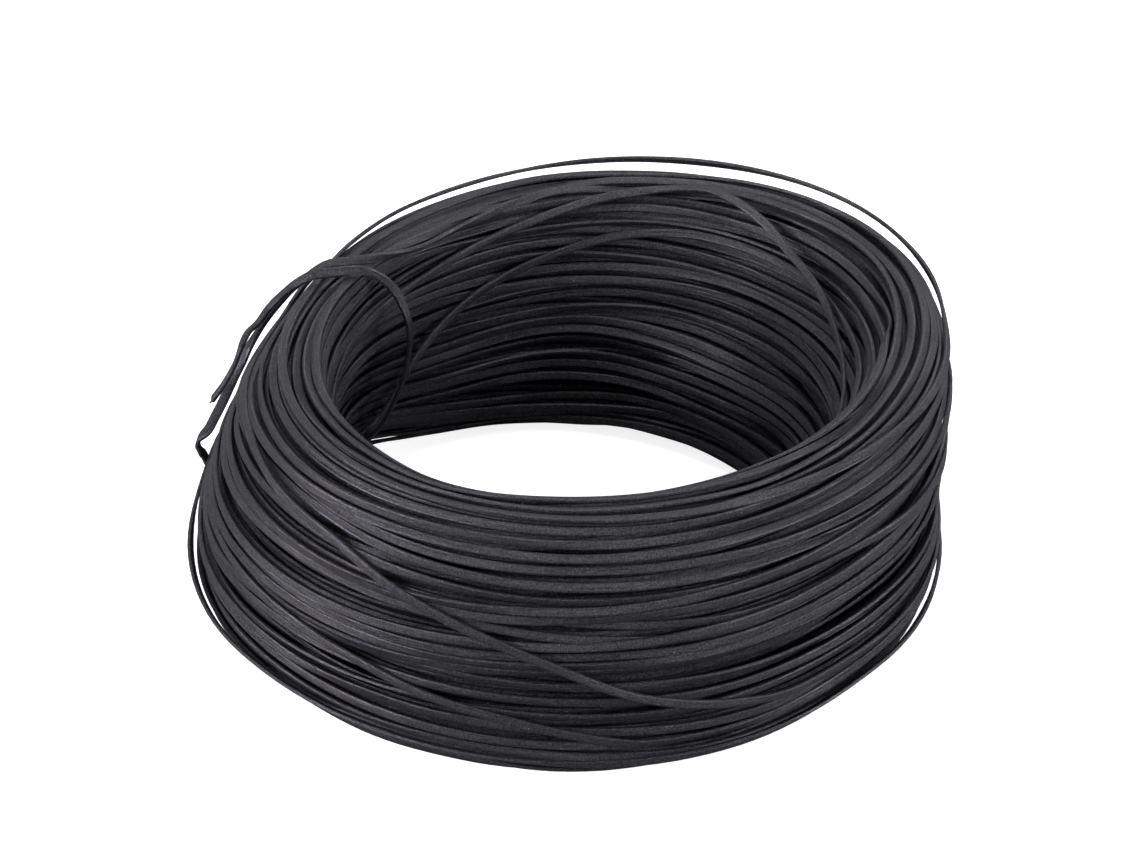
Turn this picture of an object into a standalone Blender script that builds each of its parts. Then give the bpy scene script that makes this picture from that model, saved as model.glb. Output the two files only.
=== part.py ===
"""Coil of black plastic-jacketed binding wire, held by a tie made of its own end.

The wound turns are one turned solid with its bore. Turns that have sprung loose, the tie
and the bare steel end of its wire are solids of their own. Metres, +Z up, with the origin
on the floor under the middle of the coil's extent.
"""
import math

import bmesh
import bpy
from mathutils import Vector

# The wire: a flat plastic jacket around a round steel core
WIRE_WIDTH = 0.0028
WIRE_THICKNESS = 0.0013
CORE_DIAMETER = 0.0006
CORE_BARE_LENGTH = 0.0016

# The coil's section, wide at its foot and narrow at its top
FOOT_OUTER_RADIUS = 0.0940
FOOT_BORE_RADIUS = 0.0561
TOP_OUTER_RADIUS = 0.0866
TOP_BORE_RADIUS = 0.0665
HEIGHT = 0.0697
WALL_BELLY = 0.0016
CORNER_POWER = 4.0
FOOT_SETTLE = 0.0006

# How the turns lie in the section
TURN_PITCH = 0.0029
TURN_CREST = 0.0016
GROOVE_DEPTH = 0.0013
END_SLOPE = 0.70

# How the whole coil has sagged to one side, and what the tie does to it
TOP_LEAN_RIGHT = 0.0113
TOP_LEAN_FRONT = 0.0017
TOP_OVAL = 0.049
TOP_OVAL_ANGLE = math.radians(46)
FOOT_OVAL = 0.031
FOOT_OVAL_ANGLE = math.radians(147)
TIE_ANGLE = math.radians(160)
TIE_REACH = math.radians(81)
TIE_SQUEEZE = 0.034
TIE_INWARD = 0.0033
LIFT_REACH = math.radians(65)
TIE_LIFT = 0.0107
DENT_ANGLE = math.radians(167)
DENT_REACH = math.radians(42)
DENT_DEPTH = 0.0034

# The gap that touching pieces keep
CLEARANCE = 0.0005

# Fineness of the facets
ROUND_STEPS = 36
SECTION_SAMPLES = 720
NORMAL_REACH = 4
NORMAL_SHARE = 0.004
NORMAL_ANGLE = math.radians(0.5)
TIE_STEPS = 110
CORE_SIDES = 12
SHARP_ANGLE = math.radians(35)

JACKET_COLOUR = (0.030, 0.030, 0.033, 1.0)
STEEL_COLOUR = (0.62, 0.61, 0.59, 1.0)
JACKET_ROUGHNESS = 0.5
STEEL_ROUGHNESS = 0.35

# Places on the section are shares of the way round it: 0 is the middle of the foot, about
# 0.25 the middle of the outer wall, 0.5 the middle of the top and about 0.75 the middle of
# the bore. Turns that have sprung loose are closed turns, given at a few angles in degrees
# by their place on the section and by how many wire thicknesses they have sprung off.
LOOSE_TURNS = {
    "loose_turn_back": [
        (148, 0.459, 0.0), (136, 0.456, 0.1), (120, 0.453, 0.4), (103, 0.452, 0.9),
        (82, 0.454, 1.3), (58, 0.458, 1.4), (46, 0.457, 1.3), (34, 0.455, 0.9),
        (22, 0.453, 0.4), (11, 0.448, 0.1), (0, 0.443, 0.0), (330, 0.453, 0.0),
        (290, 0.470, 0.0), (245, 0.486, 0.0), (200, 0.491, 0.0), (168, 0.478, 0.0),
    ],
    "loose_turn_low": [
        (165, 0.140, 0.2), (173, 0.128, 0.4), (184, 0.124, 0.5), (197, 0.122, 0.2),
        (212, 0.116, 0.1), (225, 0.112, 0.0), (260, 0.105, 0.0), (300, 0.105, 0.0),
        (325, 0.112, 0.1), (337, 0.120, 0.2), (346, 0.128, 0.3), (356, 0.140, 0.1),
        (10, 0.150, 0.0), (60, 0.140, 0.0), (120, 0.140, 0.0),
    ],
    "crossing_turn": [
        (200, 0.420, 0.0), (215, 0.401, 0.0), (228, 0.391, 0.0), (241, 0.354, 0.1),
        (255, 0.312, 0.1), (267, 0.270, 0.1), (280, 0.219, 0.1), (293, 0.187, 0.0),
        (307, 0.164, 0.0), (332, 0.160, 0.0), (0, 0.180, 0.0), (40, 0.229, 0.0),
        (80, 0.289, 0.0), (120, 0.346, 0.0), (165, 0.415, 0.0),
    ],
    "bore_turn_high": [
        (69, 0.530, 0.1), (59, 0.542, 0.5), (51, 0.557, 0.9), (44, 0.573, 1.2),
        (35, 0.587, 1.4), (27, 0.598, 1.5), (18, 0.613, 1.4), (9, 0.627, 0.8),
        (0, 0.638, 0.3), (340, 0.658, 0.2), (330, 0.668, 0.8), (318, 0.682, 1.5),
        (305, 0.696, 1.5), (293, 0.702, 0.8), (278, 0.704, 0.0), (250, 0.700, 0.0),
        (200, 0.660, 0.0), (150, 0.622, 0.0), (110, 0.580, 0.0), (85, 0.545, 0.0),
    ],
    "bore_turn_low": [
        (150, 0.862, 0.2), (142, 0.809, 0.3), (138, 0.767, 0.3), (129, 0.710, 0.2),
        (116, 0.661, 0.2), (98, 0.626, 0.2), (81, 0.602, 0.1), (65, 0.594, 0.0),
        (45, 0.596, 0.0), (25, 0.602, 0.0), (5, 0.608, 0.0), (340, 0.622, 0.0),
        (320, 0.662, 0.0), (290, 0.762, 0.0), (250, 0.832, 0.0), (200, 0.857, 0.0),
        (172, 0.877, 0.0),
    ],
}

# The tie's route: angle in degrees, place on the section, how many wires it lies over and
# how many wire thicknesses it bows off. It leads over the top, down the outer wall, under the
# foot, up through the bore and over the top again. Places below 0 come after the foot.
TIE_ROUTE = [
    (98, 0.527, 0.0, 0.0), (107, 0.537, 0.0, 0.0), (117, 0.546, 0.0, 0.0),
    (126, 0.551, 0.0, 0.1), (134, 0.551, 0.0, 0.2), (142, 0.544, 0.3, 0.1),
    (149, 0.530, 0.8, 0.0), (153, 0.507, 1.0, 0.0), (157, 0.467, 1.0, 0.0),
    (161, 0.425, 1.0, 0.0), (163, 0.390, 1.0, 0.0), (165, 0.359, 0.5, 0.7),
    (167, 0.327, 0.0, 1.3), (168, 0.276, 0.0, 1.4), (169, 0.224, 0.0, 1.7),
    (169, 0.202, 0.0, 2.1), (169, 0.189, 0.2, 2.3), (169, 0.176, 0.6, 2.4),
    (169, 0.163, 1.0, 1.9), (169, 0.148, 1.0, 1.0), (169, 0.130, 1.0, 0.6),
    (168, 0.103, 1.0, 0.3), (167, 0.075, 0.7, 0.3), (165, 0.045, 0.1, 0.1),
    (162, 0.000, 0.0, 0.0),
    (158, -0.050, 0.0, 0.0), (154, -0.085, 0.0, 0.2), (151, -0.108, 0.8, 0.2),
    (150, -0.126, 1.0, 0.4), (150, -0.146, 1.0, 1.2), (150, -0.178, 1.0, 2.6),
    (150, -0.222, 1.0, 4.0), (150, -0.267, 1.0, 5.1), (150, -0.309, 1.0, 5.3),
    (150, -0.344, 1.0, 5.2), (150, -0.377, 1.0, 4.4), (150, -0.398, 1.0, 3.1),
    (150, -0.417, 0.9, 1.8), (152, -0.439, 0.6, 1.2), (155, -0.459, 0.6, 0.9),
    (158, -0.480, 0.8, 0.2), (160, -0.503, 1.0, 0.0), (162, -0.530, 1.0, 0.0),
    (164, -0.552, 1.0, 0.0), (167, -0.575, 1.0, 0.3), (170, -0.600, 1.0, 0.6),
    (172, -0.625, 0.9, 1.2), (173, -0.650, 0.7, 1.2), (173, -0.675, 0.5, 1.5),
    (174, -0.700, 0.5, 1.9), (174, -0.724, 0.5, 2.6),
]


def clear_scene():
    for scene_object in list(bpy.data.objects):
        bpy.data.objects.remove(scene_object, do_unlink=True)


def plain_material(name, colour, roughness, metallic):
    material = bpy.data.materials.new(name)
    material.use_nodes = True
    shader = material.node_tree.nodes["Principled BSDF"]
    shader.inputs["Base Color"].default_value = colour
    shader.inputs["Roughness"].default_value = roughness
    shader.inputs["Metallic"].default_value = metallic
    return material


def signed_power(value, power):
    return math.copysign(abs(value) ** power, value)


def section_outline():
    """The closed section as (radius, height) points, from the foot's middle out and up."""
    outline = []
    for sample in range(SECTION_SAMPLES):
        turn = 2 * math.pi * sample / SECTION_SAMPLES - math.pi / 2
        across = signed_power(math.cos(turn), 2 / CORNER_POWER)
        upward = signed_power(math.sin(turn), 2 / CORNER_POWER)
        share = (upward + 1) / 2
        outer = FOOT_OUTER_RADIUS + (TOP_OUTER_RADIUS - FOOT_OUTER_RADIUS) * share
        outer += WALL_BELLY * 4 * share * (1 - share)
        bore = FOOT_BORE_RADIUS + (TOP_BORE_RADIUS - FOOT_BORE_RADIUS) * share
        radius = (outer + bore) / 2 + across * (outer - bore) / 2
        height = max((HEIGHT + FOOT_SETTLE) * share - FOOT_SETTLE, 0.0)
        outline.append(Vector((radius, height)))
    return outline


class Section:
    """The coil's section, read by the distance round it as a share of the whole."""

    def __init__(self):
        self.points = section_outline()
        self.lengths = [0.0]
        for index, point in enumerate(self.points):
            following = self.points[(index + 1) % len(self.points)]
            self.lengths.append(self.lengths[-1] + (following - point).length)
        self.total = self.lengths[-1]

    def at(self, share):
        """The point and outward normal at a share of the way round."""
        target = (share % 1.0) * self.total
        low, high = 0, len(self.points)
        while high - low > 1:
            middle = (low + high) // 2
            if self.lengths[middle] <= target:
                low = middle
            else:
                high = middle
        start = self.points[low]
        end = self.points[(low + 1) % len(self.points)]
        run = self.lengths[low + 1] - self.lengths[low]
        point = start.lerp(end, (target - self.lengths[low]) / run)
        before = self.points[(low - NORMAL_REACH) % len(self.points)]
        after = self.points[(low + 1 + NORMAL_REACH) % len(self.points)]
        along = (after - before).normalized()
        return point, Vector((along.y, -along.x))


def pull_at(angle, middle, reach):
    """How strongly the tie gathers the turns at an angle: 1 in its middle, 0 beyond its reach."""
    away = abs((angle - middle + math.pi) % (2 * math.pi) - math.pi)
    if away >= reach:
        return 0.0
    return (0.5 + 0.5 * math.cos(math.pi * away / reach)) ** 2


def ovalness(angle, amount, longest):
    """What a radius is multiplied by where a round turn has become slightly oval."""
    return 1 + amount * math.cos(2 * (angle - longest))


def settled(angle, radius, height):
    """Where a point of the true turned ring lies on the coil as it has sagged and been tied."""
    share = height / HEIGHT
    pull = pull_at(angle, TIE_ANGLE, TIE_REACH)
    outer = FOOT_OUTER_RADIUS + (TOP_OUTER_RADIUS - FOOT_OUTER_RADIUS) * share
    bore = FOOT_BORE_RADIUS + (TOP_BORE_RADIUS - FOOT_BORE_RADIUS) * share
    middle = (outer + bore) / 2
    gathered = middle + (radius - middle) * (1 - TIE_SQUEEZE * pull)
    gathered -= TIE_INWARD * math.sqrt(pull) * share
    outward = min(max((radius - middle) / (outer - middle), 0), 1)
    gathered -= DENT_DEPTH * outward * pull_at(angle, DENT_ANGLE, DENT_REACH)
    gathered *= ovalness(angle, FOOT_OVAL * (1 - share), FOOT_OVAL_ANGLE)
    gathered *= ovalness(angle, TOP_OVAL * share, TOP_OVAL_ANGLE)
    lifted = height + TIE_LIFT * pull_at(angle, TIE_ANGLE, LIFT_REACH) * (1 - share)
    spot = Vector((gathered * math.cos(angle), gathered * math.sin(angle), lifted))
    return spot + Vector((TOP_LEAN_RIGHT, -TOP_LEAN_FRONT, 0)) * share


def on_coil(section, angle, share, standoff):
    """A point at a distance off the settled coil's surface, and the way that it faces there."""
    before = settled(angle, *section.at(share - NORMAL_SHARE)[0])
    after = settled(angle, *section.at(share + NORMAL_SHARE)[0])
    point = section.at(share)[0]
    behind = settled(angle - NORMAL_ANGLE, *point)
    ahead = settled(angle + NORMAL_ANGLE, *point)
    outward = (ahead - behind).cross(after - before).normalized()
    return settled(angle, *point) + outward * standoff, outward


def turned_profile(section):
    """Crests and grooves round the section: flat crests on the ends, sharp ones on the walls."""
    turns = round(section.total / TURN_PITCH)
    half_crest = TURN_CREST / section.total / 2
    profile = []
    for turn in range(turns):
        middle = turn / turns
        point, normal = section.at(middle)
        if abs(normal.y) > END_SLOPE:
            profile.append(section.at(middle - half_crest)[0])
            profile.append(section.at(middle + half_crest)[0])
        else:
            profile.append(point)
        groove, groove_normal = section.at(middle + 0.5 / turns)
        profile.append(groove - groove_normal * GROOVE_DEPTH)
    return profile


def mesh_from_rings(name, rings, closed, material):
    """Joins equal rings of points, one after another, into one closed skin."""
    shape = bmesh.new()
    loops = [[shape.verts.new(point) for point in ring] for ring in rings]
    count = len(loops[0])
    pairs = list(zip(loops, loops[1:]))
    if closed:
        pairs.append((loops[-1], loops[0]))
    for first, second in pairs:
        for index in range(count):
            after = (index + 1) % count
            shape.faces.new((first[index], second[index], second[after], first[after]))
    if not closed:
        shape.faces.new(list(reversed(loops[0])))
        shape.faces.new(loops[-1])
    bmesh.ops.recalc_face_normals(shape, faces=shape.faces)
    mesh = bpy.data.meshes.new(name)
    shape.to_mesh(mesh)
    shape.free()
    mesh.shade_smooth()
    mesh.set_sharp_from_angle(angle=SHARP_ANGLE)
    mesh.materials.append(material)
    piece = bpy.data.objects.new(name, mesh)
    bpy.context.scene.collection.objects.link(piece)


def make_wire_coil(section, material):
    """The wound turns: the ridged section turned round the axis, then leaned and tied."""
    profile = turned_profile(section)
    rings = []
    for step in range(ROUND_STEPS):
        angle = 2 * math.pi * step / ROUND_STEPS
        rings.append([settled(angle, point.x, point.y) for point in profile])
    mesh_from_rings("wire_coil", rings, True, material)


def periodic_curve(knots):
    """A smooth function of the angle through (degrees, value) knots, which never overshoots."""
    knots = sorted((angle % 360, value) for angle, value in knots)
    first_angle, first_value = knots[0]
    last_angle, last_value = knots[-1]
    knots = [(last_angle - 360, last_value)] + knots + [(first_angle + 360, first_value)]
    rises = [(b[1] - a[1]) / (b[0] - a[0]) for a, b in zip(knots, knots[1:])]

    def slope(index):
        before = rises[index - 1] if index > 0 else rises[len(rises) - 2]
        after = rises[index] if index < len(rises) else rises[1]
        if before * after <= 0:
            return 0.0
        return 2 * before * after / (before + after)

    def value_at(degrees):
        degrees = (degrees - knots[0][0]) % 360 + knots[0][0]
        index = max(i for i, knot in enumerate(knots[:-1]) if knot[0] <= degrees)
        start, end = knots[index], knots[index + 1]
        width = end[0] - start[0]
        along = (degrees - start[0]) / width
        ease = along * along * (3 - 2 * along)
        bend_in = along * (1 - along) ** 2 * width * slope(index)
        bend_out = along * along * (along - 1) * width * slope(index + 1)
        return start[1] + (end[1] - start[1]) * ease + bend_in + bend_out

    return value_at


def wire_rings(path, outward):
    """The wire's flat section, with chamfered edges, at each point of a path."""
    half_width = WIRE_WIDTH / 2
    half_thickness = WIRE_THICKNESS / 2
    edge = half_width - half_thickness
    corners = [
        (-edge, -half_thickness), (edge, -half_thickness), (half_width, 0.0),
        (edge, half_thickness), (-edge, half_thickness), (-half_width, 0.0),
    ]
    rings = []
    for centre, forward, away in zip(path, directions(path), outward):
        side = forward.cross(away).normalized()
        lift = side.cross(forward).normalized()
        rings.append([centre + side * across + lift * up for across, up in corners])
    return rings


def directions(path):
    """The direction along an open path, or along a closed one that ends at its start."""
    ahead = path[1:] + path[-1:]
    behind = path[:1] + path[:-1]
    return [(after - before).normalized() for after, before in zip(ahead, behind)]


def make_loose_turn(section, name, knots, material):
    """One closed turn that lies on the coil and stands off it where it has sprung loose."""
    share_at = periodic_curve([(angle, share) for angle, share, _ in knots])
    sprung_at = periodic_curve([(angle, sprung) for angle, _, sprung in knots])
    path = []
    outward = []
    for step in range(-1, ROUND_STEPS + 1):
        angle = 2 * math.pi * step / ROUND_STEPS
        share = share_at(math.degrees(angle))
        standoff = CLEARANCE + WIRE_THICKNESS * (0.5 + sprung_at(math.degrees(angle)))
        centre, facing = on_coil(section, angle, share, standoff)
        path.append(centre)
        outward.append(facing)
    rings = wire_rings(path, outward)[1:-1]
    mesh_from_rings(name, rings, True, material)


def smooth_route(points, count):
    """Evenly counted points on a smooth curve through the hand-set points of a route."""
    spaced = []
    spans = len(points) - 1
    for step in range(count + 1):
        place = spans * step / count
        index = min(int(place), spans - 1)
        along = place - index
        before = points[max(index - 1, 0)]
        start = points[index]
        end = points[index + 1]
        after = points[min(index + 2, spans)]
        spaced.append(tuple(
            0.5 * (2 * b + (c - a) * along + (2 * a - 5 * b + 4 * c - d) * along ** 2
                   + (3 * b - a - 3 * c + d) * along ** 3)
            for a, b, c, d in zip(before, start, end, after)
        ))
    return spaced


def make_tie(section, material):
    """The coil's own end, led over the top, round the section twice and left with a free end."""
    path = []
    outward = []
    for degrees, share, wires_under, bow in smooth_route(TIE_ROUTE, TIE_STEPS):
        angle = math.radians(degrees)
        standoff = CLEARANCE + wires_under * (WIRE_THICKNESS + CLEARANCE) + WIRE_THICKNESS * (0.5 + bow)
        centre, facing = on_coil(section, angle, share, standoff)
        path.append(centre)
        outward.append(facing)
    mesh_from_rings("tie_wire", wire_rings(path, outward), False, material)
    return path[-1], (path[-1] - path[-2]).normalized()


def make_core_tip(end, forward, material):
    """The steel core, bare where the wire was cut."""
    shape = bmesh.new()
    bmesh.ops.create_cone(
        shape, cap_ends=True, segments=CORE_SIDES, radius1=CORE_DIAMETER / 2,
        radius2=CORE_DIAMETER / 2, depth=CORE_BARE_LENGTH,
    )
    mesh = bpy.data.meshes.new("steel_core_end")
    shape.to_mesh(mesh)
    shape.free()
    mesh.shade_smooth()
    mesh.set_sharp_from_angle(angle=SHARP_ANGLE)
    mesh.materials.append(material)
    tip = bpy.data.objects.new("steel_core_end", mesh)
    tip.location = end + forward * (CLEARANCE + CORE_BARE_LENGTH / 2)
    tip.rotation_euler = forward.to_track_quat("Z", "X").to_euler()
    bpy.context.scene.collection.objects.link(tip)


def centre_over_origin():
    """Stands the whole coil on the floor with the middle of its extent over the origin."""
    bpy.context.view_layer.update()
    pieces = list(bpy.context.scene.collection.objects)
    corners = [piece.matrix_world @ Vector(corner) for piece in pieces for corner in piece.bound_box]
    low = Vector(min(corner[axis] for corner in corners) for axis in range(3))
    high = Vector(max(corner[axis] for corner in corners) for axis in range(3))
    middle = (low + high) / 2
    for piece in pieces:
        piece.location -= Vector((middle.x, middle.y, low.z))


def main():
    clear_scene()
    jacket = plain_material("black_jacket", JACKET_COLOUR, JACKET_ROUGHNESS, 0.0)
    steel = plain_material("bright_steel", STEEL_COLOUR, STEEL_ROUGHNESS, 1.0)
    section = Section()
    make_wire_coil(section, jacket)
    for name, knots in LOOSE_TURNS.items():
        make_loose_turn(section, name, knots, jacket)
    end, forward = make_tie(section, jacket)
    make_core_tip(end, forward, steel)
    centre_over_origin()


main()
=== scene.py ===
"""Looks for the coil of binding wire: every turn as real flat wire, the tie and the cut end."""
import math

import bpy
import numpy as np
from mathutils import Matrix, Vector


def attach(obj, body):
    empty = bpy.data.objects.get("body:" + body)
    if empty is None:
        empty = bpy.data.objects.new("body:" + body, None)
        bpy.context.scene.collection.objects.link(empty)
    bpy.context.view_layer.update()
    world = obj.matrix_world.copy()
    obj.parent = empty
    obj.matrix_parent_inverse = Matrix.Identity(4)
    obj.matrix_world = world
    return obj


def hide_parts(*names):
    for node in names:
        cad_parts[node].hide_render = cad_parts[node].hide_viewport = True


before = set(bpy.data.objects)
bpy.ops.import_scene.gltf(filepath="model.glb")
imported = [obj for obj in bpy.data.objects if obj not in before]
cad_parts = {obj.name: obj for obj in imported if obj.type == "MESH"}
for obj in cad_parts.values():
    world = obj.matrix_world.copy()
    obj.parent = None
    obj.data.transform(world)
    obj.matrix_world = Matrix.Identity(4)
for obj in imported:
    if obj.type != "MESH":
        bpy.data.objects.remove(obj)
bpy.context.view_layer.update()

# The wire as it shows, in metres, a little narrower than in the solids
WIRE_WIDTH = 0.00225
WIRE_THICKNESS = 0.0010
TIE_WIDTH = 0.0025
TIE_THICKNESS = 0.0011
CORE_DIAMETER = 0.0006
CORE_BARE_LENGTH = 0.0016
CORE_SIDES = 16
SHARP_ANGLE = math.radians(42)

# The coil's form, in metres, as the solids have it
FOOT_OUTER_RADIUS = 0.0940
FOOT_BORE_RADIUS = 0.0561
TOP_OUTER_RADIUS = 0.0866
TOP_BORE_RADIUS = 0.0665
HEIGHT = 0.0697
WALL_BELLY = 0.0016
CORNER_POWER = 4.0
FOOT_SETTLE = 0.0006
TOP_LEAN_RIGHT = 0.0113
TOP_LEAN_FRONT = 0.0017
TOP_OVAL = 0.049
TOP_OVAL_ANGLE = math.radians(46)
FOOT_OVAL = 0.031
FOOT_OVAL_ANGLE = math.radians(147)
TIE_ANGLE = math.radians(160)
TIE_REACH = math.radians(81)
TIE_SQUEEZE = 0.034
TIE_INWARD = 0.0033
LIFT_REACH = math.radians(65)
TIE_LIFT = 0.0107
DENT_ANGLE = math.radians(167)
DENT_REACH = math.radians(42)
DENT_DEPTH = 0.0034
CLEARANCE = 0.0005

# Where the outer wall stands further in than the solids, or further out where the depth is below
# 0: angle, reach round the coil, the height as a share, its spread and the depth in metres
WALL_TRIMS = [
    (math.radians(-4), math.radians(38), 0.52, 0.24, 0.0022),
    (math.radians(-42), math.radians(40), 0.25, 0.36, 0.0014),
    (math.radians(222), math.radians(44), 0.25, 0.40, 0.0008),
    (math.radians(186), math.radians(32), 0.20, 0.30, 0.0003),
    (math.radians(42), math.radians(42), 0.95, 0.30, -0.0009),
]

# The whole coil is shifted so that the middle of its extent is over the origin
ORIGIN_SHIFT = np.array((-0.003677, 0.000443, 0.0))

# How finely the coil's surface is worked out: stations round the coil and bins round its section
STATIONS = 144
STATION_ANGLES = 2 * np.pi * np.arange(STATIONS) / STATIONS
BINS = 696
SAMPLES = 720
NORMAL_REACH = 3

# How the turns are wound, layer by layer from the inside out: the pitches and the depth of the
# first layer in metres, and how far each layer is set off, as a share of its pitch
LAYERS = 4
TURN_PITCHES = (0.0030, 0.0028, 0.0028, 0.0036)
PACK_DEPTH = 0.0066
LAYER_OFFSET = 0.37
GROUP_SIZES = (2, 3, 3, 4, 5, 6)

# How closely the turns lie at places on the section, each place as a share of the way round it
CROWDING = [(0.0, 0.9), (0.36, 0.95), (0.46, 1.1), (0.62, 1.15), (0.88, 1.15), (0.95, 0.9)]

# How far a group of turns and each turn in it wander, by waves of one, two and more to the turn
GROUP_DRIFT = (0.0017, 0.0013, 0.0008, 0.0004)
TURN_DRIFT = (0.0002, 0.0002, 0.00015, 0.00012, 0.0001, 0.0001)

# How turns roll about their own length, in radians: all a little, a share of them in one stretch
ROLL_SPREAD = 0.27
ROLLING_SHARE = 0.6
STRETCH_ROLLS = (0.4, 1.3)
STRETCH_REACHES = (0.7, 1.6)

# How a turn settles on what it lies on: the points across it, how its section falls off to its
# edges, how far it tilts, and how it is smoothed, in stations
ACROSS_POINTS = 11
EDGE_FALL = 0.96
TILT_BASE = 1.3
TILT_LIMIT = 0.5
CLING = 3
LAY_EASE = 2.0

# The turns that fill the emptiest places: how many to a layer, and how far they look and swerve
FILLING_TURNS = (6, 8, 10, 3)
FILLING_REACH = 10
FILLING_BLUR = 0.35
FILLING_EASE = 3.0
SWERVE_COST = 0.0003

# How the wound surface is levelled: its crests stand this far off the coil's surface, in metres,
# and what is under them is blurred, in stations and in bins
TOP_RISE = 0.0003
CREST_REACH = 6
LEVEL_BLUR = (5, 12)

# How the tie presses the turns in, in metres, and how far round, in stations and in bins
TIE_DENT = 0.0016
TIE_MARGIN = 0.0003
TIE_DENT_BLUR = (3.0, 14.0)

# Where the foot, the outer wall and the top end, as shares of the way round the section
FOOT_END = 0.10
WALL_END = 0.42
TOP_END = 0.58

# The closely packed turns inside: their depth in metres and steps in stations and bins
PACKED_DEPTH = 0.0070
PACKED_STATION_STEP = 2
PACKED_BIN_STEP = 6

# The range of random tones of the turns that show, and the darker range painted on the ones below
# them: painted shade in the gaps between the turns that show
SHOWN_SHADES = (0.35, 1.0)
DEEP_PAINTED_SHADES = (0.0, 0.3)

# Turns that have sprung loose, where the solids have them: the angle in degrees, the place as a
# share of the way round the section and how far the turn has sprung off, in steps of 1.3 mm. Up
# to SPRUNG_LEAST steps it still lies on the coil.
SPRUNG_STEP = 0.0013
SPRUNG_LEAST = 0.1
LOOSE_TURNS = {
    "loose_turn_back": [
        (148, 0.459, 0.0), (136, 0.456, 0.1), (120, 0.453, 0.4), (103, 0.452, 0.9),
        (82, 0.454, 1.3), (58, 0.458, 1.4), (46, 0.457, 1.3), (34, 0.455, 0.9),
        (22, 0.453, 0.4), (11, 0.448, 0.1), (0, 0.443, 0.0), (330, 0.453, 0.0),
        (290, 0.470, 0.0), (245, 0.486, 0.0), (200, 0.491, 0.0), (168, 0.478, 0.0),
    ],
    "loose_turn_low": [
        (165, 0.140, 0.2), (173, 0.128, 0.4), (184, 0.124, 0.5), (197, 0.122, 0.2),
        (212, 0.116, 0.1), (225, 0.112, 0.0), (260, 0.105, 0.0), (300, 0.105, 0.0),
        (325, 0.112, 0.1), (337, 0.120, 0.2), (346, 0.128, 0.3), (356, 0.140, 0.1),
        (10, 0.150, 0.0), (60, 0.140, 0.0), (120, 0.140, 0.0),
    ],
    "crossing_turn": [
        (200, 0.420, 0.0), (215, 0.401, 0.0), (228, 0.391, 0.0), (241, 0.354, 0.1),
        (255, 0.312, 0.1), (267, 0.270, 0.1), (280, 0.219, 0.1), (293, 0.187, 0.0),
        (307, 0.164, 0.0), (332, 0.160, 0.0), (0, 0.180, 0.0), (40, 0.229, 0.0),
        (80, 0.289, 0.0), (120, 0.346, 0.0), (165, 0.415, 0.0),
    ],
    "bore_turn_high": [
        (69, 0.530, 0.1), (59, 0.542, 0.5), (51, 0.557, 0.9), (44, 0.573, 1.2),
        (35, 0.587, 1.4), (27, 0.598, 1.5), (18, 0.613, 1.4), (9, 0.627, 0.8),
        (0, 0.638, 0.3), (340, 0.658, 0.2), (330, 0.668, 0.8), (318, 0.682, 1.5),
        (305, 0.696, 1.5), (293, 0.702, 0.8), (278, 0.704, 0.0), (250, 0.700, 0.0),
        (200, 0.660, 0.0), (150, 0.622, 0.0), (110, 0.580, 0.0), (85, 0.545, 0.0),
    ],
    "bore_turn_low": [
        (150, 0.862, 0.2), (142, 0.809, 0.3), (138, 0.767, 0.3), (129, 0.710, 0.2),
        (116, 0.661, 0.2), (98, 0.626, 0.2), (81, 0.602, 0.1), (65, 0.594, 0.0),
        (45, 0.596, 0.0), (25, 0.602, 0.0), (5, 0.608, 0.0), (340, 0.622, 0.0),
        (320, 0.662, 0.0), (290, 0.762, 0.0), (250, 0.832, 0.0), (200, 0.857, 0.0),
        (172, 0.877, 0.0),
    ],
}

# Turns of the outermost layer that cross their neighbours in the photograph, in the same terms
CROSSING_TURNS = [
    [
        (341, 0.373), (359, 0.380), (10, 0.376), (21, 0.384), (40, 0.396), (75, 0.406),
        (110, 0.398), (155, 0.360), (200, 0.355), (240, 0.347), (270, 0.351), (300, 0.361),
    ],
    [
        (234, 0.228), (248, 0.205), (260, 0.187), (270, 0.167), (283, 0.140), (300, 0.136),
        (315, 0.143), (342, 0.145), (30, 0.170), (90, 0.200), (148, 0.230), (200, 0.245),
    ],
]

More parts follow.
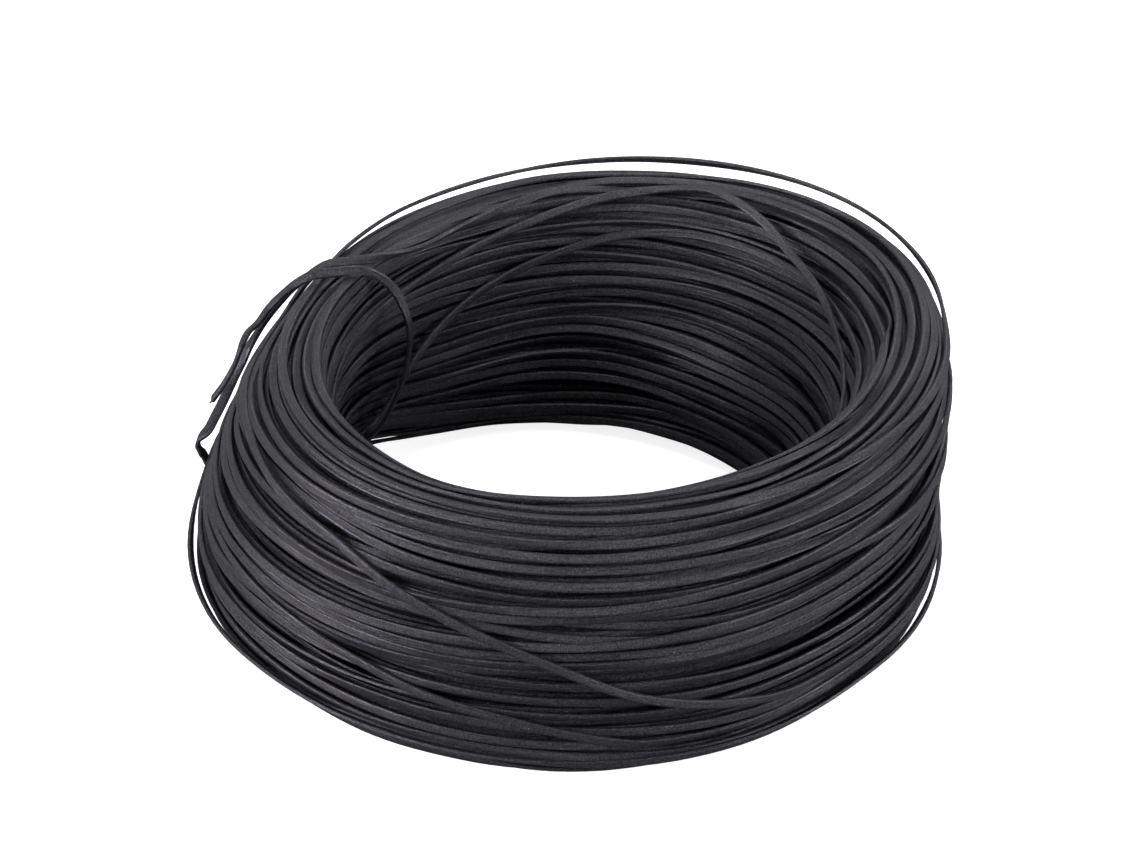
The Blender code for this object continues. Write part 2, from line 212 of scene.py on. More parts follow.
# The tie's route: angle in degrees, place on the section, how high its middle stands off the
# coil's surface in metres, and its roll in degrees. Places below 0 come after the foot.
TIE_ROUTE = [
    (78, 0.527, -0.0040, 0), (98, 0.527, -0.0012, 0), (107, 0.536, -0.0017, 15),
    (117, 0.548, -0.0002, 40), (126, 0.552, 0.0003, 65), (134, 0.553, 0.0006, 75),
    (142, 0.545, 0.0009, 75), (149, 0.530, 0.0007, 65), (153, 0.507, 0.0005, 50),
    (157, 0.463, 0.0009, 30), (161, 0.419, 0.0021, 15), (165, 0.380, 0.0028, 20),
    (168, 0.350, 0.0029, 40), (169, 0.330, 0.0027, 60), (170, 0.305, 0.0027, 75),
    (170, 0.272, 0.0027, 80), (170, 0.246, 0.0028, 80), (170, 0.221, 0.0031, 80),
    (170, 0.199, 0.0034, 78), (170, 0.187, 0.0040, 50), (170, 0.174, 0.0049, 10),
    (170, 0.161, 0.0048, 0), (170, 0.152, 0.0035, 0), (169, 0.138, 0.0028, 0),
    (167, 0.094, 0.0011, 0), (164, 0.029, 0.0014, 0), (160, -0.035, 0.0011, 0),
    (156, -0.077, 0.0004, 0), (152, -0.104, 0.0011, 0), (150, -0.125, 0.0025, 0),
    (150, -0.146, 0.0039, 0), (150, -0.178, 0.0060, -15), (150, -0.222, 0.0079, -18),
    (150, -0.267, 0.0094, -18), (150, -0.309, 0.0098, -18), (150, -0.344, 0.0097, -15),
    (150, -0.377, 0.0085, -10), (150, -0.398, 0.0067, 5), (150, -0.417, 0.0047, 22),
    (152, -0.439, 0.0033, 38), (155, -0.459, 0.0026, 48), (158, -0.477, 0.0018, 50),
    (160, -0.500, 0.0015, 50), (162, -0.532, 0.0018, 45), (163, -0.555, 0.0026, 35),
    (165, -0.573, 0.0034, 30), (165, -0.596, 0.0039, 30), (167, -0.614, 0.0040, 28),
    (169, -0.624, 0.0048, 25), (171, -0.630, 0.0046, 22), (172, -0.640, 0.0042, 18),
    (172, -0.659, 0.0038, 15), (172, -0.679, 0.0038, 15), (173, -0.701, 0.0042, 15),
    (173, -0.728, 0.0051, 15),
]
TIE_STEPS = 300

# A quarter of the jacket's section, as shares of its half width and half thickness: finest for
# the turns that show, plainer for the layers below them
SECTIONS = {
    "shown": [(0.60, 1.0), (0.86, 0.87), (0.97, 0.60), (1.0, 0.24)],
    "under": [(0.76, 1.0), (0.98, 0.60)],
    "inner": [(0.88, 0.90)],
}

# The steel core's bare end: how far out, as a share of its length, and its width there as a share
CORE_PROFILE = [(-0.5, 1.0), (0.0, 1.0), (0.5, 1.0), (0.92, 1.0), (1.0, 0.7)]

# The jacket's look: how fine its grain, its dust and the lines drawn along the wire are, how big
# a speck of dust is, and its colours
GRAIN_SCALE = 2500
SPECK_SCALE = 380
SPECK_SIZE = 0.05
ALONG_SCALE = 25.0
ACROSS_SCALE = 20.0
TONE_SCALE = 300.0
# The darker colour is also the painted shade on the turns below the outer layer
DARK_JACKET_AND_PAINTED_SHADE = (0.0030, 0.0028, 0.0040, 1)
LIGHT_JACKET = (0.0160, 0.0152, 0.0195, 1)
# The grain's lighter colour: partly real grain, partly painted glints
GRAIN_AND_GLINT_COLOUR = (0.074, 0.071, 0.081, 1)
DUST_COLOUR = (0.30, 0.30, 0.29, 1)
SHEEN_TINT = (0.92, 0.89, 1.0, 1)

# What the grain, the random tones with their painted shade and the relief turn into, each as a
# range and the range it becomes
GRAIN_TO_GLINT_COLOUR = ((0.47, 0.72), (0.0, 0.66))
GRAIN_TO_GLOSS = ((0.38, 0.62), (0.30, 1.05))
PAINTED_SHADE_TO_GLOSS = ((0.0, 0.35), (0.30, 1.0))
RELIEF_TO_ROUGHNESS = ((1.1, 2.1), (0.26, 0.48))
LINES_TO_RELIEF = 2.2
BUMP_STRENGTH = 0.8
BUMP_HEIGHT = 0.0001

# The cut steel's look
STEEL_COLOUR = (0.62, 0.61, 0.59, 1)
STEEL_GRAIN_SCALE = 4000
STEEL_ROUGHNESS = (0.2, 0.4)

# The studio: its lamps by name, place, size in metres and power in watts, all turned to one spot
LAMPS = [
    ("above", (0.0, -0.1, 1.2), 0.9, 5.2),
    ("front_left", (-0.93, -0.64, 0.50), 0.3, 7.6),
    ("front_right", (0.93, -0.64, 0.50), 0.3, 4.2),
    ("left", (-1.1, -0.2, 0.2), 0.25, 5.8),
    ("right", (1.1, -0.2, 0.2), 0.25, 4.2),
    ("back_left", (-0.8, 0.8, 0.6), 0.5, 0.9),
    ("back_right", (0.8, 0.8, 0.6), 0.5, 2.2),
    ("back", (0.0, 1.1, 0.7), 0.6, 1.9),
]
LAMP_TARGET = (0, 0, 0.03)
WORLD_LIGHT = 0.24

# The floor: its side in metres, its grey to the light and to the camera, and its own glow
FLOOR_SIZE = 6
FLOOR_LIT = (0.25, 0.25, 0.25, 1)
FLOOR_SEEN = (0.9, 0.9, 0.9, 1)
FLOOR_GLOW = 0.84
WHITE = (1, 1, 1, 1)

# The camera stands above the front of the coil. Its sensor and lens are in millimetres.
CAMERA_ELEVATION = math.radians(33.1)
CAMERA_DISTANCE = 0.9466
CAMERA_TARGET = (0.000319, 0.000547, 0.04002)
CAMERA_LENS = 120.84
CAMERA_SENSOR = 36
CAMERA_CLIP = (0.01, 20)

# All random draws come from this one seed
SEED = 29
rng = np.random.default_rng(SEED)


def signed_power(values, power):
    return np.sign(values) * np.abs(values) ** power


class Form:
    """The coil's settled surface as a grid of places, by angle and by share round the section."""

    def __init__(self):
        turn = 2 * np.pi * np.arange(SAMPLES) / SAMPLES - np.pi / 2
        across = signed_power(np.cos(turn), 2 / CORNER_POWER)
        share = (signed_power(np.sin(turn), 2 / CORNER_POWER) + 1) / 2
        outer = FOOT_OUTER_RADIUS + (TOP_OUTER_RADIUS - FOOT_OUTER_RADIUS) * share
        outer = outer + WALL_BELLY * 4 * share * (1 - share)
        bore = FOOT_BORE_RADIUS + (TOP_BORE_RADIUS - FOOT_BORE_RADIUS) * share
        radius = (outer + bore) / 2 + across * (outer - bore) / 2
        height = np.maximum((HEIGHT + FOOT_SETTLE) * share - FOOT_SETTLE, 0.0)
        points = np.stack([radius, height], 1)
        closed = np.vstack([points, points[:1]])
        lengths = np.concatenate([[0], np.cumsum(np.linalg.norm(np.diff(closed, axis=0), axis=1))])
        self.total = lengths[-1]
        places = np.arange(BINS) / BINS * self.total
        radius = np.interp(places, lengths, closed[:, 0])
        height = np.interp(places, lengths, closed[:, 1])
        ring = settled(STATION_ANGLES[:, None], radius[None, :], height[None, :])
        self.points = ring + ORIGIN_SHIFT
        around = np.roll(self.points, -1, 0) - np.roll(self.points, 1, 0)
        upward = np.roll(self.points, -NORMAL_REACH, 1) - np.roll(self.points, NORMAL_REACH, 1)
        normals = np.cross(around, upward)
        self.normals = normals / np.linalg.norm(normals, axis=2, keepdims=True)

    def at(self, stations, places, heights):
        """Points off the surface, and the way that it faces, at fractional stations and places."""
        bins = places / self.total * BINS
        facing = read_grid(self.normals, stations, bins)
        facing = facing / np.linalg.norm(facing, axis=-1, keepdims=True)
        return read_grid(self.points, stations, bins) + facing * heights[:, None], facing


def read_grid(grid, stations, bins):
    """A grid's values or vectors between its stations and bins, round both ways."""
    low_a = np.floor(stations).astype(int)
    low_b = np.floor(bins).astype(int)
    part_a = stations - low_a
    part_b = bins - low_b
    if grid.ndim == 3:
        part_a, part_b = part_a[:, None], part_b[:, None]
    first = grid[low_a % STATIONS, low_b % BINS] * (1 - part_b)
    first = first + grid[low_a % STATIONS, (low_b + 1) % BINS] * part_b
    second = grid[(low_a + 1) % STATIONS, low_b % BINS] * (1 - part_b)
    second = second + grid[(low_a + 1) % STATIONS, (low_b + 1) % BINS] * part_b
    return first * (1 - part_a) + second * part_a


def pull_at(angle, middle, reach):
    """How strongly a tie, dent or trim acts at an angle: 1 in its middle, 0 beyond its reach."""
    away = np.abs((angle - middle + np.pi) % (2 * np.pi) - np.pi)
    window = 0.5 + 0.5 * np.cos(np.pi * np.minimum(away / reach, 1))
    return window ** 2


def settled(angle, radius, height):
    """Where a point of the true turned ring lies on the coil as it has sagged and been tied."""
    share = height / HEIGHT
    pull = pull_at(angle, TIE_ANGLE, TIE_REACH)
    outer = FOOT_OUTER_RADIUS + (TOP_OUTER_RADIUS - FOOT_OUTER_RADIUS) * share
    bore = FOOT_BORE_RADIUS + (TOP_BORE_RADIUS - FOOT_BORE_RADIUS) * share
    middle = (outer + bore) / 2
    gathered = middle + (radius - middle) * (1 - TIE_SQUEEZE * pull)
    gathered = gathered - TIE_INWARD * np.sqrt(pull) * share
    outward = np.clip((radius - middle) / (outer - middle), 0, 1)
    gathered = gathered - DENT_DEPTH * outward * pull_at(angle, DENT_ANGLE, DENT_REACH)
    for trim_angle, reach, trim_share, spread, depth in WALL_TRIMS:
        nearness = np.exp(-((share - trim_share) / spread) ** 2)
        gathered = gathered - depth * outward * nearness * pull_at(angle, trim_angle, reach)
    gathered = gathered * (1 + FOOT_OVAL * (1 - share) * np.cos(2 * (angle - FOOT_OVAL_ANGLE)))
    gathered = gathered * (1 + TOP_OVAL * share * np.cos(2 * (angle - TOP_OVAL_ANGLE)))
    lifted = height + TIE_LIFT * pull_at(angle, TIE_ANGLE, LIFT_REACH) * (1 - share)
    spot = np.stack([gathered * np.cos(angle), gathered * np.sin(angle), lifted], -1)
    return spot + np.array((TOP_LEAN_RIGHT, -TOP_LEAN_FRONT, 0.0)) * share[..., None]


def smoothed(values, spread):
    """A closed row of values, blurred along its length."""
    reach = int(4 * spread)
    offsets = np.arange(-reach, reach + 1)
    weights = np.exp(-0.5 * (offsets / spread) ** 2)
    weights = weights / weights.sum()
    return sum(weight * np.roll(values, offset, -1) for offset, weight in zip(offsets, weights))


def raised(values, reach):
    """A closed row of values, each lifted to the highest of its neighbours."""
    return np.max([np.roll(values, offset) for offset in range(-reach, reach + 1)], axis=0)


def wander(amplitudes):
    """A closed smooth wandering row, from waves of one, two, three and more to the turn."""
    row = np.zeros(STATIONS)
    for wave, amplitude in enumerate(amplitudes, start=1):
        size = rng.normal(0, amplitude)
        row += size * np.cos(wave * STATION_ANGLES + rng.uniform(0, 2 * np.pi))
    return row


def crowded(shares):
    """Evenly spaced places, drawn together where the turns lie over each other like shingles."""
    grid = np.linspace(0, 1, BINS + 1)
    density = np.interp(grid, *zip(*CROWDING), period=1)
    reached = np.concatenate([[0], np.cumsum(density[1:] + density[:-1])])
    return np.interp(shares, reached / reached[-1], grid)


def stand(roll):
    """How far the wire's middle stands off what it lies on, when it has rolled by an angle."""
    return WIRE_THICKNESS / 2 * np.cos(roll) + WIRE_WIDTH / 2 * np.abs(np.sin(roll))


def tie_dent():
    """How far the tie presses the turns in, in metres, by station and bin."""
    angle, place, height, roll = smooth_route(TIE_ROUTE, 3 * len(TIE_ROUTE)).T
    depth = np.clip(TOP_RISE + TIE_MARGIN - height + stand(np.radians(roll)), 0.0, TIE_DENT)
    away_a = np.arange(STATIONS)[:, None, None] - angle * STATIONS / 360
    away_b = (np.arange(BINS)[None, :, None] - place * BINS + BINS / 2) % BINS - BINS / 2
    nearness = np.exp(-(away_a / TIE_DENT_BLUR[0]) ** 2 - (away_b / TIE_DENT_BLUR[1]) ** 2)
    return (depth * nearness).max(2)


class Winding:
    """The surface that the turns build up: how high they stand at each station and bin."""

    def __init__(self, form):
        self.bin = form.total / BINS
        self.height = np.full((STATIONS, BINS), -PACK_DEPTH)

    def lay(self, centre, edge_on=0.0):
        """Lays one closed turn on what is there. Gives its height and roll at each station."""
        edge_on = np.broadcast_to(np.asarray(edge_on, float), centre.shape)
        cosine = np.cos(edge_on)
        sine = np.abs(np.sin(edge_on))
        half = WIRE_WIDTH / 2 * cosine + WIRE_THICKNESS / 2 * sine
        rise = stand(edge_on)
        share = np.linspace(-1, 1, ACROSS_POINTS)
        reach = half[:, None] * share[None, :]
        bulge = rise[:, None] * np.sqrt(1 - share[None, :] ** 4 * EDGE_FALL)
        stations = np.arange(STATIONS)[:, None]
        bins = np.round((centre[:, None] + reach) / self.bin).astype(int) % BINS
        below = self.height[stations, bins]
        left = below[:, :ACROSS_POINTS // 2].max(1)
        right = below[:, ACROSS_POINTS // 2 + 1:].max(1)
        tilt = np.clip((right - left) / (TILT_BASE * half), -TILT_LIMIT, TILT_LIMIT) * cosine
        tilt = smoothed(tilt, LAY_EASE)
        middle = (below - tilt[:, None] * reach + bulge).max(1)
        middle = smoothed(raised(middle, CLING), LAY_EASE)
        top = middle[:, None] + tilt[:, None] * reach + bulge
        np.maximum.at(self.height, (np.broadcast_to(stations, bins.shape), bins), top)
        return middle, np.arctan(tilt) + edge_on

    def valley(self):
        """The course of a turn that falls into the lowest ground near the emptiest place."""
        spread = FILLING_BLUR * WIRE_WIDTH / self.bin
        ground = smoothed(self.height, spread)
        emptiest = int(smoothed(ground.mean(0), spread).argmin())
        offsets = np.arange(-FILLING_REACH, FILLING_REACH + 1)
        lap = ground[:, (emptiest + offsets) % BINS]
        swerve = SWERVE_COST * np.abs(offsets[:, None] - offsets[None, :])
        total = np.zeros(len(offsets))
        came_from = []
        for cost in np.concatenate([lap, lap]):
            options = total[None, :] + swerve
            came_from.append(options.argmin(1))
            total = options.min(1) + cost
        course = [int(total.argmin())]
        for choices in reversed(came_from[1:]):
            course.append(int(choices[course[-1]]))
        half = STATIONS // 2
        course = np.roll(course[::-1][half:half + STATIONS], half)
        return smoothed((emptiest + offsets[course]) * self.bin, FILLING_EASE)

    def level(self):
        """How far the turns must sink, smoothly, for their tops to lie on the coil's surface."""
        around = np.fft.fftfreq(STATIONS) * 2 * np.pi * LEVEL_BLUR[0]
        across = np.fft.fftfreq(BINS) * 2 * np.pi * LEVEL_BLUR[1]
        blur = np.exp(-0.5 * (around[:, None] ** 2 + across[None, :] ** 2))
        shifts = range(-CREST_REACH, CREST_REACH + 1)
        crests = np.max([np.roll(self.height, shift, 1) for shift in shifts], axis=0)
        mean = np.real(np.fft.ifft2(np.fft.fft2(crests) * blur))
        return mean - TOP_RISE + tie_dent()


def wire_section(kind, width, thickness):
    """The jacket's section: a flat strip with round corners."""
    quarter = np.array(SECTIONS[kind]) * (width / 2, thickness / 2)
    right = np.vstack([quarter, quarter[::-1] * (1, -1)])
    return np.vstack([right, right[::-1] * (-1, 1)])


def swept(path, facing, roll, closed, kind="shown", width=WIRE_WIDTH, thickness=WIRE_THICKNESS):
    """Vertices of the wire's section carried along a path, as rings by section points."""
    section = wire_section(kind, width, thickness)
    if closed:
        forward = np.roll(path, -1, 0) - np.roll(path, 1, 0)
    else:
        forward = np.gradient(path, axis=0)
    forward = forward / np.linalg.norm(forward, axis=1, keepdims=True)
    side = np.cross(forward, facing)
    side = side / np.linalg.norm(side, axis=1, keepdims=True)
    lift = np.cross(side, forward)
    turned_side = side * np.cos(roll)[:, None] + lift * np.sin(roll)[:, None]
    turned_lift = lift * np.cos(roll)[:, None] - side * np.sin(roll)[:, None]
    rings = path[:, None, :] + section[None, :, :1] * turned_side[:, None, :]
    rings = rings + section[None, :, 1:] * turned_lift[:, None, :]
    sunk = np.minimum(rings[:, :, 2].min(1), 0.0)
    rings[:, :, 2] -= sunk[:, None]
    return rings


class WirePiece:
    """Collects swept wires into one mesh, with what their material reads along the way."""

    def __init__(self, shades=SHOWN_SHADES):
        self.shades = shades
        self.points = []
        self.faces = []
        self.along = []
        self.across = []
        self.tone_and_painted_shade = []
        self.count = 0

    def add(self, rings, closed):
        rows, width = rings.shape[:2]
        index = np.arange(rows * width).reshape(rows, width) + self.count
        after = np.roll(index, -1, 0)
        if not closed:
            after = after[:-1]
        here = index[:len(after)]
        quads = np.stack([here, np.roll(here, -1, 1), np.roll(after, -1, 1), after], -1)
        self.faces.extend(quads.reshape(-1, 4).tolist())
        if not closed:
            self.faces.append(index[0][::-1].tolist())
            self.faces.append(index[-1].tolist())
        middle = rings.mean(1)
        steps = np.linalg.norm(np.diff(middle, axis=0, prepend=middle[:1]), axis=1)
        self.along.append(np.repeat(np.cumsum(steps), width))
        self.across.append(np.tile(np.arange(width) / width, rows))
        # Each turn's colour share: random for the turns that show, darker for the turns below as
        # painted shade
        self.tone_and_painted_shade.append(np.full(rows * width, rng.uniform(*self.shades)))
        self.points.append(rings.reshape(-1, 3))
        self.count += rows * width

    def build(self, name, material, slot, cad_node):
        mesh = bpy.data.meshes.new(name)
        mesh.from_pydata(np.concatenate(self.points).tolist(), [], self.faces)
        mesh.shade_smooth()
        mesh.set_sharp_from_angle(angle=SHARP_ANGLE)
        marks = {"wire_along": self.along, "wire_across": self.across, "wire_tone_and_painted_shade": self.tone_and_painted_shade}
        for label, values in marks.items():
            layer = mesh.attributes.new(label, "FLOAT", "POINT")
            layer.data.foreach_set("value", np.concatenate(values).astype(np.float32))
        mesh.materials.append(material)
        piece = bpy.data.objects.new(name, mesh)
        bpy.context.scene.collection.objects.link(piece)
        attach(piece, "root")
        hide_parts(cad_node)


def node(tree, kind, values=None, **settings):
    """A shader node with its settings and the fixed values of its inputs."""
    made = tree.nodes.new(kind)
    for key, value in settings.items():
        setattr(made, key, value)
    set_values(made, values or {})
    return made


def set_values(made, values):
    for key, value in values.items():
        made.inputs[key].default_value = value


def mapped(tree, value, source, target):
    """A shader value carried from one range to another, and held inside it."""
    ranges = dict(zip(("From Min", "From Max", "To Min", "To Max"), source + target))
    made = node(tree, "ShaderNodeMapRange", ranges)
    tree.links.new(value, made.inputs["Value"])
    return made.outputs["Result"]


def mixed(tree, factor, first, second):
    """A colour between two, each of them a fixed colour or another node's output."""
    made = node(tree, "ShaderNodeMix", data_type="RGBA")
    tree.links.new(factor, made.inputs["Factor"])
    for socket, colour in (("A", first), ("B", second)):
        if isinstance(colour, tuple):
            made.inputs[socket].default_value = colour
        else:
            tree.links.new(colour, made.inputs[socket])
    return made.outputs["Result"]


def new_material(name):
    material = bpy.data.materials.new(name)
    material.use_nodes = True
    return material, material.node_tree, material.node_tree.nodes["Principled BSDF"]


def drawn_lines(tree, tone_and_painted_shade):
    """Faint lines drawn out along the wire, different on each turn."""
    along = node(tree, "ShaderNodeAttribute", attribute_name="wire_along").outputs["Fac"]
    across = node(tree, "ShaderNodeAttribute", attribute_name="wire_across").outputs["Fac"]
    spread = node(tree, "ShaderNodeCombineXYZ")
    parts = ((along, ALONG_SCALE, "X"), (across, ACROSS_SCALE, "Y"), (tone_and_painted_shade, TONE_SCALE, "Z"))
    for source, factor, socket in parts:
        scaled = node(tree, "ShaderNodeMath", {1: factor}, operation="MULTIPLY")
        tree.links.new(source, scaled.inputs[0])
        tree.links.new(scaled.outputs["Value"], spread.inputs[socket])
    drawn = node(tree, "ShaderNodeTexNoise", {"Scale": 1.0, "Detail": 2})
    tree.links.new(spread.outputs["Vector"], drawn.inputs["Vector"])
    return drawn.outputs["Fac"]


def jacket_material():
    """Satin black plastic: fine grain, partly painted as glints, faint drawn lines along the wire,
    dust specks, and painted shade on the turns below the outer layer.
    """
    material, tree, shader = new_material("black_jacket")
    link = tree.links.new
    tone_and_painted_shade = node(tree, "ShaderNodeAttribute", attribute_name="wire_tone_and_painted_shade").outputs["Fac"]
    place = node(tree, "ShaderNodeTexCoord").outputs["Object"]
    noise = node(tree, "ShaderNodeTexNoise", {"Scale": GRAIN_SCALE, "Detail": 3, "Roughness": 0.7})
    link(place, noise.inputs["Vector"])
    grain = noise.outputs["Fac"]

    # The turns below the outer layer are painted darker: painted shade in the gaps
    plain = mixed(tree, tone_and_painted_shade, DARK_JACKET_AND_PAINTED_SHADE, LIGHT_JACKET)
    # The grain lightens the colour in specks: partly grain, partly painted glints
    grain_and_glints = mixed(tree, mapped(tree, grain, *GRAIN_TO_GLINT_COLOUR), plain, GRAIN_AND_GLINT_COLOUR)
    specks = node(tree, "ShaderNodeTexVoronoi", {"Scale": SPECK_SCALE})
    link(place, specks.inputs["Vector"])
    near = node(tree, "ShaderNodeMath", {1: SPECK_SIZE}, operation="LESS_THAN")
    link(specks.outputs["Distance"], near.inputs[0])
    dusty = mixed(tree, near.outputs["Value"], grain_and_glints, DUST_COLOUR)
    link(dusty, shader.inputs["Base Color"])

    # The turns below the outer layer also lose gloss: painted shade
    gloss = node(tree, "ShaderNodeMath", operation="MULTIPLY")
    link(mapped(tree, grain, *GRAIN_TO_GLOSS), gloss.inputs[0])
    link(mapped(tree, tone_and_painted_shade, *PAINTED_SHADE_TO_GLOSS), gloss.inputs[1])
    link(gloss.outputs["Value"], shader.inputs["Specular IOR Level"])
    set_values(shader, {"Specular Tint": SHEEN_TINT})

    relief = node(tree, "ShaderNodeMath", {1: LINES_TO_RELIEF}, operation="MULTIPLY_ADD")
    link(drawn_lines(tree, tone_and_painted_shade), relief.inputs[0])
    link(grain, relief.inputs[2])
    rough = mapped(tree, relief.outputs["Value"], *RELIEF_TO_ROUGHNESS)
    link(rough, shader.inputs["Roughness"])
    bump = node(tree, "ShaderNodeBump", {"Strength": BUMP_STRENGTH, "Distance": BUMP_HEIGHT})
    link(relief.outputs["Value"], bump.inputs["Height"])
    link(bump.outputs["Normal"], shader.inputs["Normal"])
    return material


def steel_material():
    """Bright cut steel with a fine uneven sheen."""
    material, tree, shader = new_material("cut_steel")
    set_values(shader, {"Metallic": 1.0, "Base Color": STEEL_COLOUR})
    place = node(tree, "ShaderNodeTexCoord")
    noise = node(tree, "ShaderNodeTexNoise", {"Scale": STEEL_GRAIN_SCALE})
    tree.links.new(place.outputs["Object"], noise.inputs["Vector"])
    sheen = mapped(tree, noise.outputs["Fac"], (0.0, 1.0), STEEL_ROUGHNESS)
    tree.links.new(sheen, shader.inputs["Roughness"])
    return material


def wall_of(share):
    """Which piece shows a turn, by its place on the section."""
    share = share % 1.0
    if share < FOOT_END or share > 1 - FOOT_END:
        return "foot_turns"
    if share < WALL_END:
        return "outer_wall_turns"
    return "top_turns" if share < TOP_END else "bore_turns"


def roll_stretch():
    """A turn's own slow roll: none for many turns, one stretch of it for the others."""
    if rng.uniform() > ROLLING_SHARE:
        return np.zeros(STATIONS)
    middle = rng.uniform(0, 2 * np.pi)
    away = np.abs((STATION_ANGLES - middle + np.pi) % (2 * np.pi) - np.pi)
    window = np.clip(1 - away / rng.uniform(*STRETCH_REACHES), 0, 1)
    return rng.choice((-1, 1)) * rng.uniform(*STRETCH_ROLLS) * window ** 2 * (3 - 2 * window)


def turn_groups(turns):
    """The turns of a layer by number, in small groups that were wound one after the other."""
    groups = []
    first = 0
    while first < turns:
        size = int(rng.choice(GROUP_SIZES))
        groups.append(list(range(first, min(first + size, turns))))
        first += size
    rng.shuffle(groups)
    return groups


def lay_turns(form, winding):
    """Lays every turn, layer on layer. Gives layer, place, course, height and roll of each."""
    laid = []
    for layer in range(LAYERS):
        turns = int(form.total / TURN_PITCHES[layer])
        for group in turn_groups(turns):
            drift = wander(GROUP_DRIFT)
            for turn in group:
                base = crowded((turn + LAYER_OFFSET * layer) / turns % 1.0) * form.total
                centre = base + drift + wander(TURN_DRIFT)
                height, roll = winding.lay(centre, rng.normal(0, ROLL_SPREAD) + roll_stretch())
                laid.append((layer, base / form.total, centre, height, roll))
        for _ in range(FILLING_TURNS[layer]):
            centre = winding.valley()
            height, roll = winding.lay(centre)
            laid.append((layer, centre.mean() / form.total, centre, height, roll))
    for knots in CROSSING_TURNS:
        centre = by_station(knots) * form.total
        height, roll = winding.lay(centre)
        laid.append((LAYERS - 1, knots[0][1], centre, height, roll))
    return laid


def lay_loose_turn(form, winding, knots):
    """Lays a turn by its knots. Gives its course, how far it has sprung off, height and roll."""
    centre = by_station([(angle, share) for angle, share, _ in knots]) * form.total
    sprung = by_station([(angle, sprung) for angle, _, sprung in knots]) * SPRUNG_STEP
    return (centre, sprung) + winding.lay(centre)


def wind_turns(form, winding, jacket):
    """Lays every turn and builds the pieces that show them."""
    stations = np.arange(STATIONS)
    laid = lay_turns(form, winding)
    loose = {name: lay_loose_turn(form, winding, knots) for name, knots in LOOSE_TURNS.items()}
    sink = winding.level()
    # The turns below the outer layer take the darker range: painted shade between the turns that
    # show
    inner = WirePiece(DEEP_PAINTED_SHADES)
    walls = {}
    for layer, share, centre, height, roll in laid:
        height = height - read_grid(sink, stations, centre / winding.bin)
        path, facing = form.at(stations, centre, height)
        if layer == 0:
            inner.add(swept(path[::2], facing[::2], roll[::2], True, "inner"), True)
            continue
        name = wall_of(share)
        if layer == LAYERS - 1:
            piece = walls.setdefault(name, WirePiece())
            piece.add(swept(path, facing, roll, True), True)
        else:
            kind = "under" if layer == LAYERS - 2 else "inner"
            piece = walls.setdefault("under_" + name, WirePiece(DEEP_PAINTED_SHADES))
            piece.add(swept(path, facing, roll, True, kind), True)
    inner.build("inner_turns", jacket, "jacket", "wire_coil")
    for name, piece in walls.items():
        piece.build(name, jacket, "jacket", "wire_coil")
    for name, (centre, sprung, height, roll) in loose.items():
        height = height - read_grid(sink, stations, centre / winding.bin)
        free = CLEARANCE + sprung + WIRE_THICKNESS / 2
        height = np.where(sprung > SPRUNG_LEAST * SPRUNG_STEP, np.maximum(height, free), height)
        path, facing = form.at(stations, centre, smoothed(height, LAY_EASE))
        piece = WirePiece()
        piece.add(swept(path, facing, roll, True), True)
        piece.build(name + "_wire", jacket, "jacket", name)


def make_packed_core(form, winding, jacket):
    """The closely packed turns deep inside, of which only darkness shows between the others."""
    places = np.arange(0, BINS, PACKED_BIN_STEP) * winding.bin
    depths = np.full(len(places), -PACKED_DEPTH)
    rings = []
    for station in range(0, STATIONS, PACKED_STATION_STEP):
        ring, _ = form.at(np.full(len(places), station), places, depths)
        rings.append(ring)
    piece = WirePiece()
    piece.add(np.array(rings), True)
    piece.build("packed_core", jacket, "jacket", "wire_coil")


def periodic_curve(knots):
    """A smooth function of the angle through (degrees, value) knots, which never overshoots."""
    knots = sorted((angle % 360, value) for angle, value in knots)
    first_angle, first_value = knots[0]
    last_angle, last_value = knots[-1]
    knots = [(last_angle - 360, last_value)] + knots + [(first_angle + 360, first_value)]
    rises = [(b[1] - a[1]) / (b[0] - a[0]) for a, b in zip(knots, knots[1:])]

    def slope(index):
        before = rises[index - 1] if index > 0 else rises[len(rises) - 2]
        after = rises[index] if index < len(rises) else rises[1]
        if before * after <= 0:
            return 0.0
        return 2 * before * after / (before + after)

    def value_at(degrees):
        degrees = (degrees - knots[0][0]) % 360 + knots[0][0]
        index = max(i for i, knot in enumerate(knots[:-1]) if knot[0] <= degrees)
        start, end = knots[index], knots[index + 1]
        width = end[0] - start[0]
        along = (degrees - start[0]) / width
        ease = along * along * (3 - 2 * along)
        bend_in = along * (1 - along) ** 2 * width * slope(index)
        bend_out = along * along * (along - 1) * width * slope(index + 1)
        return start[1] + (end[1] - start[1]) * ease + bend_in + bend_out

    return value_at


def by_station(knots):
    """The smooth curve through (degrees, value) knots, read at each station."""
    value_at = periodic_curve(knots)
    return np.array([value_at(angle) for angle in np.arange(STATIONS) * 360 / STATIONS])


def smooth_route(points, count):
    """Evenly counted points on a smooth curve through the given points of a route."""
    points = np.array(points, float)
    spans = len(points) - 1
    place = spans * np.arange(count + 1) / count
    index = np.minimum(place.astype(int), spans - 1)
    along = (place - index)[:, None]
    a = points[np.maximum(index - 1, 0)]
    b = points[index]
    c = points[index + 1]
    d = points[np.minimum(index + 2, spans)]
    return 0.5 * (2 * b + (c - a) * along + (2 * a - 5 * b + 4 * c - d) * along ** 2
                  + (3 * b - a - 3 * c + d) * along ** 3)


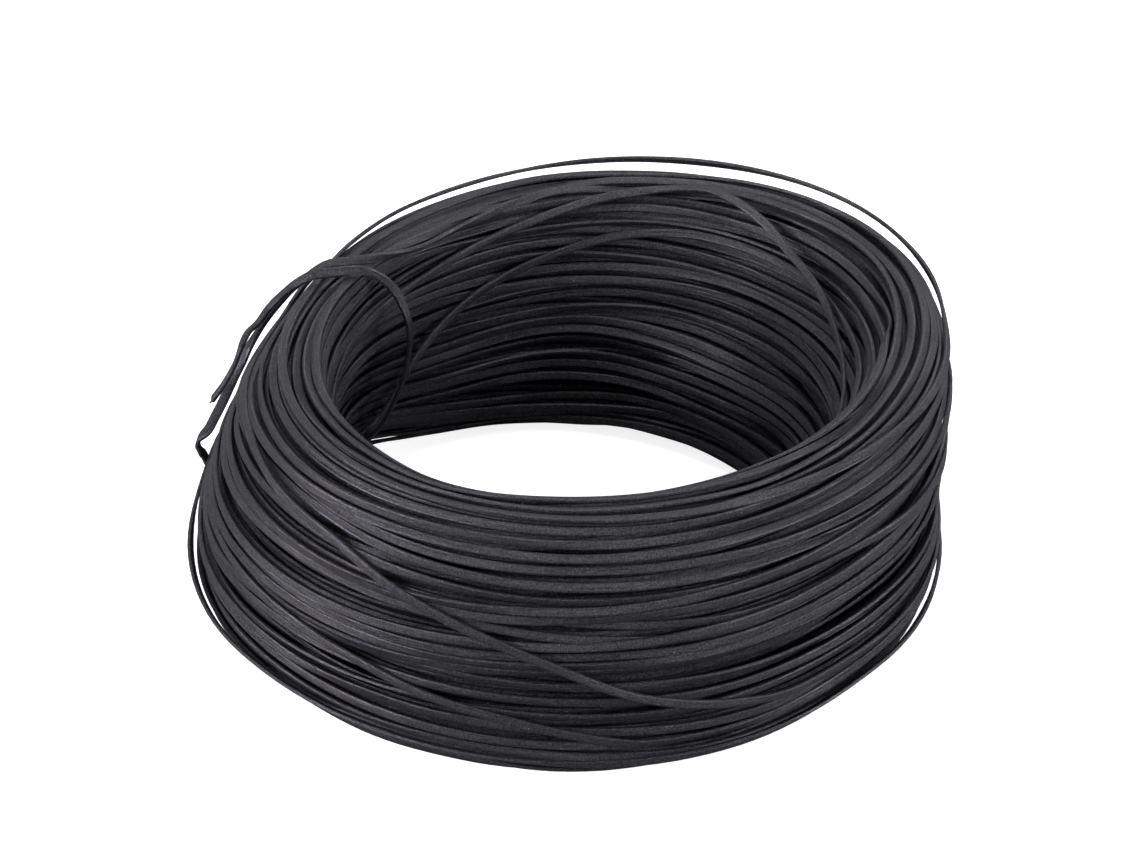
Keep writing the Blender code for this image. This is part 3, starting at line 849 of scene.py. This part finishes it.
def make_tie(form, jacket):
    """The coil's own end, led over the top, round the section twice and left with a free end."""
    angle, place, height, roll = smooth_route(TIE_ROUTE, TIE_STEPS).T
    path, facing = form.at(angle * STATIONS / 360, place * form.total, height)
    piece = WirePiece()
    rings = swept(path, facing, np.radians(roll), False, "shown", TIE_WIDTH, TIE_THICKNESS)
    piece.add(rings, False)
    piece.build("tie_wire_band", jacket, "jacket", "tie_wire")
    return path[-1], path[-1] - path[-2], facing[-1]


def make_core_tip(end, forward, facing, steel):
    """The steel core, bare where the wire was cut."""
    forward = forward / np.linalg.norm(forward)
    side = np.cross(forward, facing)
    side = side / np.linalg.norm(side)
    lift = np.cross(side, forward)
    turn = 2 * np.pi * np.arange(CORE_SIDES) / CORE_SIDES
    rim = CORE_DIAMETER / 2 * (np.cos(turn)[:, None] * side + np.sin(turn)[:, None] * lift)
    reach, size = np.array(CORE_PROFILE).T[:, :, None, None]
    rings = end + reach * CORE_BARE_LENGTH * forward + size * rim[None, :, :]
    piece = WirePiece()
    piece.add(rings, False)
    piece.build("core_tip", steel, "core", "steel_core_end")


def make_stage():
    """A plain pale floor, white to the camera, which keeps a faint shadow of the coil."""
    bpy.ops.mesh.primitive_plane_add(size=FLOOR_SIZE, location=(0, 0, 0))
    floor = bpy.context.object
    floor.name = "floor"
    material, tree, shader = new_material("floor_white")
    set_values(shader, {"Roughness": 0.9, "Specular IOR Level": 0.0, "Emission Color": WHITE})
    seen = node(tree, "ShaderNodeLightPath").outputs["Is Camera Ray"]
    paint = mixed(tree, seen, FLOOR_LIT, FLOOR_SEEN)
    tree.links.new(paint, shader.inputs["Base Color"])
    glow = mapped(tree, seen, (0.0, 1.0), (0.0, FLOOR_GLOW))
    tree.links.new(glow, shader.inputs["Emission Strength"])
    floor.data.materials.append(material)


def make_lights():
    """A white world, strong only to the camera, and soft round lamps about the coil."""
    world = bpy.data.worlds.new("studio")
    bpy.context.scene.world = world
    world.use_nodes = True
    tree = world.node_tree
    background = tree.nodes["Background"]
    set_values(background, {"Color": WHITE})
    seen = node(tree, "ShaderNodeLightPath").outputs["Is Camera Ray"]
    strength = mapped(tree, seen, (0.0, 1.0), (WORLD_LIGHT, 1.0))
    tree.links.new(strength, background.inputs["Strength"])
    for name, location, size, power in LAMPS:
        data = bpy.data.lights.new(name, "AREA")
        data.shape = "DISK"
        data.size = size
        data.energy = power
        lamp = bpy.data.objects.new(name, data)
        lamp.location = location
        aim = Vector(LAMP_TARGET) - Vector(location)
        lamp.rotation_euler = aim.to_track_quat("-Z", "Y").to_euler()
        bpy.context.scene.collection.objects.link(lamp)


def make_camera():
    forward = Vector((0, math.cos(CAMERA_ELEVATION), -math.sin(CAMERA_ELEVATION)))
    data = bpy.data.cameras.new("camera")
    data.sensor_width = CAMERA_SENSOR
    data.lens = CAMERA_LENS
    data.clip_start, data.clip_end = CAMERA_CLIP
    camera = bpy.data.objects.new("camera", data)
    camera.location = Vector(CAMERA_TARGET) - forward * CAMERA_DISTANCE
    camera.rotation_euler = forward.to_track_quat("-Z", "Y").to_euler()
    bpy.context.scene.collection.objects.link(camera)
    bpy.context.scene.camera = camera


make_camera()
make_lights()
make_stage()
form = Form()
winding = Winding(form)
jacket = jacket_material()
steel = steel_material()
wind_turns(form, winding, jacket)
make_packed_core(form, winding, jacket)
end, forward, facing = make_tie(form, jacket)
make_core_tip(end, forward, facing, steel)

bpy.context.scene.view_settings.view_transform = "Standard"
